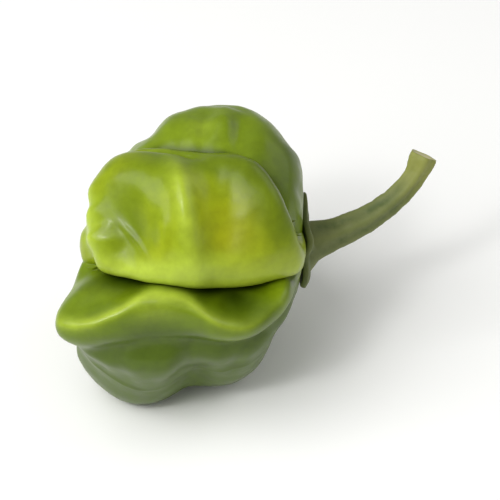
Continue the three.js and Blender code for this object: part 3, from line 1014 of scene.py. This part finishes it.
class PodSettings(bpy.types.PropertyGroup):
    """The colours and the fine relief of the pod's skin"""
    ripe_lime: bpy.props.FloatVectorProperty(
        name="Ripe lime", description="The face's yellower blotches", subtype="COLOR", size=4, min=0, max=1,
        default=linear("#9DAA00"))
    lime: bpy.props.FloatVectorProperty(
        name="Lime", description="The face's greener blotches", subtype="COLOR", size=4, min=0, max=1,
        default=linear("#869A00"))
    # The face's dents, partly their own greener colour and partly painted shade, and the face's patches of
    # painted shade.
    dent_and_shade_green: bpy.props.FloatVectorProperty(
        name="Dent green", description="The dents of the face", subtype="COLOR", size=4, min=0, max=1,
        default=linear("#687C00"))
    leaf_green: bpy.props.FloatVectorProperty(
        name="Leaf green", description="The other lobes", subtype="COLOR", size=4, min=0, max=1,
        default=linear("#748A06"))
    dull_leaf_green: bpy.props.FloatVectorProperty(
        name="Dull leaf green", description="The other lobes' darker blotches", subtype="COLOR", size=4,
        min=0, max=1, default=linear("#607604"))
    # The side below the brim, its own olive darkened with painted shade.
    olive: bpy.props.FloatVectorProperty(
        name="Olive green", description="The side below the brim", subtype="COLOR", size=4, min=0, max=1,
        default=linear("#4C6010"))
    # The colour of the painted highlights on the tops of folds, ridges and rims.
    highlight_lime: bpy.props.FloatVectorProperty(
        name="Pale lime", description="The tops of folds and ridges", subtype="COLOR", size=4, min=0, max=1,
        default=linear("#A8BC3A"))
    # The colour of the painted shade in the creases, the groove and its pocket, and beside the stem end.
    crease_shade_green: bpy.props.FloatVectorProperty(
        name="Deep green", description="The bottoms of the creases", subtype="COLOR", size=4, min=0, max=1,
        default=linear("#263602"))
    blush: bpy.props.FloatVectorProperty(
        name="Blush", description="Where the skin starts to ripen", subtype="COLOR", size=4, min=0, max=1,
        default=linear("#958C00"))
    scar_brown: bpy.props.FloatVectorProperty(
        name="Scar brown", description="The dry blossom scar", subtype="COLOR", size=4, min=0, max=1,
        default=linear("#6B5A2A"))
    blotch_size: bpy.props.FloatProperty(
        name="Blotch size", description="How wide the skin's blotches are", unit="LENGTH", default=0.009,
        min=0.001)
    wave_height: bpy.props.FloatProperty(
        name="Skin waves", description="How high the skin's slow waves are", unit="LENGTH", default=0.00024,
        min=0)
    pucker_height: bpy.props.FloatProperty(
        name="Puckers", description="How high the puckers near the pod's two ends are", unit="LENGTH",
        default=0.0003, min=0)
    lip_overhang: bpy.props.FloatProperty(
        name="Lip overhang", description="How far the face's lip hangs over the groove", unit="LENGTH",
        default=0.0014, min=0)


class StalkSettings(bpy.types.PropertyGroup):
    """The colours and the fine relief of the calyx and the stalk"""
    grey_green: bpy.props.FloatVectorProperty(
        name="Grey green", description="The stalk's main colour", subtype="COLOR", size=4, min=0, max=1,
        default=linear("#636B3A"))
    dark_green: bpy.props.FloatVectorProperty(
        name="Dark green", description="The stalk's darker mottle", subtype="COLOR", size=4, min=0, max=1,
        default=linear("#4C5A2A"))
    ridge_green: bpy.props.FloatVectorProperty(
        name="Ridge green", description="The tops of the stalk's ridges", subtype="COLOR", size=4,
        min=0, max=1, default=linear("#7A8048"))
    tip_green: bpy.props.FloatVectorProperty(
        name="Tip green", description="The paler outer end", subtype="COLOR", size=4, min=0, max=1,
        default=linear("#8E9146"))
    cut_face: bpy.props.FloatVectorProperty(
        name="Cut face", description="Where the stalk was cut", subtype="COLOR", size=4, min=0, max=1,
        default=linear("#B9B387"))
    mottle_size: bpy.props.FloatProperty(
        name="Mottle size", description="How wide the stalk's mottle is", unit="LENGTH", default=0.003,
        min=0.0005)
    ridge_height: bpy.props.FloatProperty(
        name="Ridges", description="How high the ridges along the stalk are", unit="LENGTH", default=0.00016,
        min=0)
    grain_height: bpy.props.FloatProperty(
        name="Grain", description="How deep the stalk's uneven grain is", unit="LENGTH", default=0.00012,
        min=0)


class StageSettings(bpy.types.PropertyGroup):
    """The floor, the lights' powers and the camera"""
    floor_color: bpy.props.FloatVectorProperty(
        name="Floor", description="The paper's colour", subtype="COLOR", size=4, min=0, max=1,
        default=linear("#FAFAF8"))
    key_power: bpy.props.FloatProperty(
        name="Main light", description="Power of the soft light at the upper left", unit="POWER", default=2.5,
        min=0)
    fill_power: bpy.props.FloatProperty(
        name="Fill light", description="Power of the soft light at the right", unit="POWER", default=0.5,
        min=0)
    highlight_power: bpy.props.FloatProperty(
        name="Highlight light", description="Power of the small light above the camera", unit="POWER",
        default=0.6, min=0)
    sky: bpy.props.FloatProperty(
        name="Room light", description="Strength of the even light all round", default=0.4, min=0)
    floor_width: bpy.props.FloatProperty(
        name="Floor width", description="How wide the square floor is", unit="LENGTH", default=3, min=0.5)
    camera_distance: bpy.props.FloatProperty(
        name="Camera distance", description="How far the camera stands from the pepper's middle",
        unit="LENGTH", default=0.36, min=0.1)
    camera_lens: bpy.props.FloatProperty(
        name="Lens", description="The camera's focal length", unit="CAMERA", default=165, min=1)


class PEPPER_OT_pod(bpy.types.Operator):
    """Builds the pepper's pod"""
    bl_idname = "pepper.pod"
    bl_label = "Pod"

    def execute(self, context):
        settings = context.scene.pepper_pod
        theta, phi = pod_grid()
        points = pod_points(theta, phi, settings)
        # It rests on the floor, so what would reach below it is flat.
        points[..., 2] = np.maximum(points[..., 2], 0)
        middle = pod_middle()
        start = AXIS * end_radius(0) + middle
        end = -AXIS * end_radius(math.pi) + middle
        piece = closed_surface("pod_skin", start, points, end, skin_marks(theta, phi))
        piece.data.materials.append(fresh_pepper_skin(settings))
        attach(piece, "root")
        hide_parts("pod")
        return {"FINISHED"}


class PEPPER_OT_calyx_and_stalk(bpy.types.Operator):
    """Builds the calyx and the stalk that grows from it"""
    bl_idname = "pepper.calyx_and_stalk"
    bl_label = "Calyx and stalk"

    def execute(self, context):
        settings = context.scene.pepper_stalk
        rings, marks, tip = calyx_and_stalk_points(settings)
        foot = AXIS * (end_radius(0) + CALYX_GAP) + pod_middle()
        # From the tip inwards, so that its faces look outwards.
        marks = {name: values[::-1] for name, values in marks.items()}
        piece = closed_surface("calyx_with_stalk", tip, rings[::-1], foot, marks)
        piece.data.materials.append(dull_green_stalk(settings))
        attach(piece, "root")
        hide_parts("calyx_and_stalk")
        return {"FINISHED"}


def add_light(name, light, power):
    """Adds a square light that shines on the pepper; light is its place and its width."""
    place, width = light
    data = bpy.data.lights.new(name, "AREA")
    data.shape = "SQUARE"
    data.size = width
    data.energy = power
    lamp = bpy.data.objects.new(name, data)
    lamp.location = place
    lamp.rotation_mode = "QUATERNION"
    lamp.rotation_quaternion = (Vector(CAMERA_AIM) - Vector(place)).to_track_quat("-Z", "Y")
    bpy.context.scene.collection.objects.link(lamp)


class PEPPER_OT_stage(bpy.types.Operator):
    """Builds the pale floor, the soft lights and the camera"""
    bl_idname = "pepper.stage"
    bl_label = "Floor, lights and camera"

    def execute(self, context):
        scene = context.scene
        settings = scene.pepper_stage
        # Shows the colours as they are given, without a film look.
        scene.view_settings.view_transform = "Standard"
        half = settings.floor_width / 2
        corners = [(-half, -half, 0), (half, -half, 0), (half, half, 0), (-half, half, 0)]
        mesh = bpy.data.meshes.new("paper_floor")
        mesh.from_pydata(corners, [], [(0, 1, 2, 3)])
        mesh.materials.append(matte_paper(settings))
        floor = bpy.data.objects.new("paper_floor", mesh)
        scene.collection.objects.link(floor)
        world = bpy.data.worlds.new("room")
        world.use_nodes = True
        background = world.node_tree.nodes["Background"]
        background.inputs["Color"].default_value = (1, 1, 1, 1)
        background.inputs["Strength"].default_value = settings.sky
        scene.world = world
        add_light("main_light", MAIN_LIGHT, settings.key_power)
        add_light("fill_light", FILL_LIGHT, settings.fill_power)
        add_light("highlight_light", HIGHLIGHT_LIGHT, settings.highlight_power)
        data = bpy.data.cameras.new("camera")
        data.lens = settings.camera_lens
        camera = bpy.data.objects.new("camera", data)
        scene.collection.objects.link(camera)
        back = Vector(FACING)
        camera.location = Vector(CAMERA_AIM) + back * settings.camera_distance
        camera.rotation_mode = "QUATERNION"
        camera.rotation_quaternion = (-back).to_track_quat("-Z", "Y")
        scene.camera = camera
        return {"FINISHED"}


class PEPPER_PT_panel(bpy.types.Panel):
    """The pepper's pieces"""
    bl_label = "Scotch Bonnet Pepper"
    bl_idname = "PEPPER_PT_panel"
    bl_space_type = "VIEW_3D"
    bl_region_type = "UI"
    bl_category = "Pepper"

    def draw(self, context):
        for operator, group in ((PEPPER_OT_pod, "pepper_pod"), (PEPPER_OT_calyx_and_stalk, "pepper_stalk"),
                                (PEPPER_OT_stage, "pepper_stage")):
            box = self.layout.box()
            settings = getattr(context.scene, group)
            for name in settings.__annotations__:
                box.prop(settings, name)
            box.operator(operator.bl_idname)


CLASSES = (
    PodSettings,
    StalkSettings,
    StageSettings,
    PEPPER_OT_pod,
    PEPPER_OT_calyx_and_stalk,
    PEPPER_OT_stage,
    PEPPER_PT_panel,
)


def register():
    for cls in CLASSES:
        bpy.utils.register_class(cls)
    bpy.types.Scene.pepper_pod = bpy.props.PointerProperty(type=PodSettings)
    bpy.types.Scene.pepper_stalk = bpy.props.PointerProperty(type=StalkSettings)
    bpy.types.Scene.pepper_stage = bpy.props.PointerProperty(type=StageSettings)


def unregister():
    del bpy.types.Scene.pepper_stage
    del bpy.types.Scene.pepper_stalk
    del bpy.types.Scene.pepper_pod
    for cls in reversed(CLASSES):
        bpy.utils.unregister_class(cls)


def main():
    register()
    bpy.ops.pepper.pod()
    bpy.ops.pepper.calyx_and_stalk()
    bpy.ops.pepper.stage()
    bpy.context.view_layer.update()


if __name__ == "__main__":
    main()
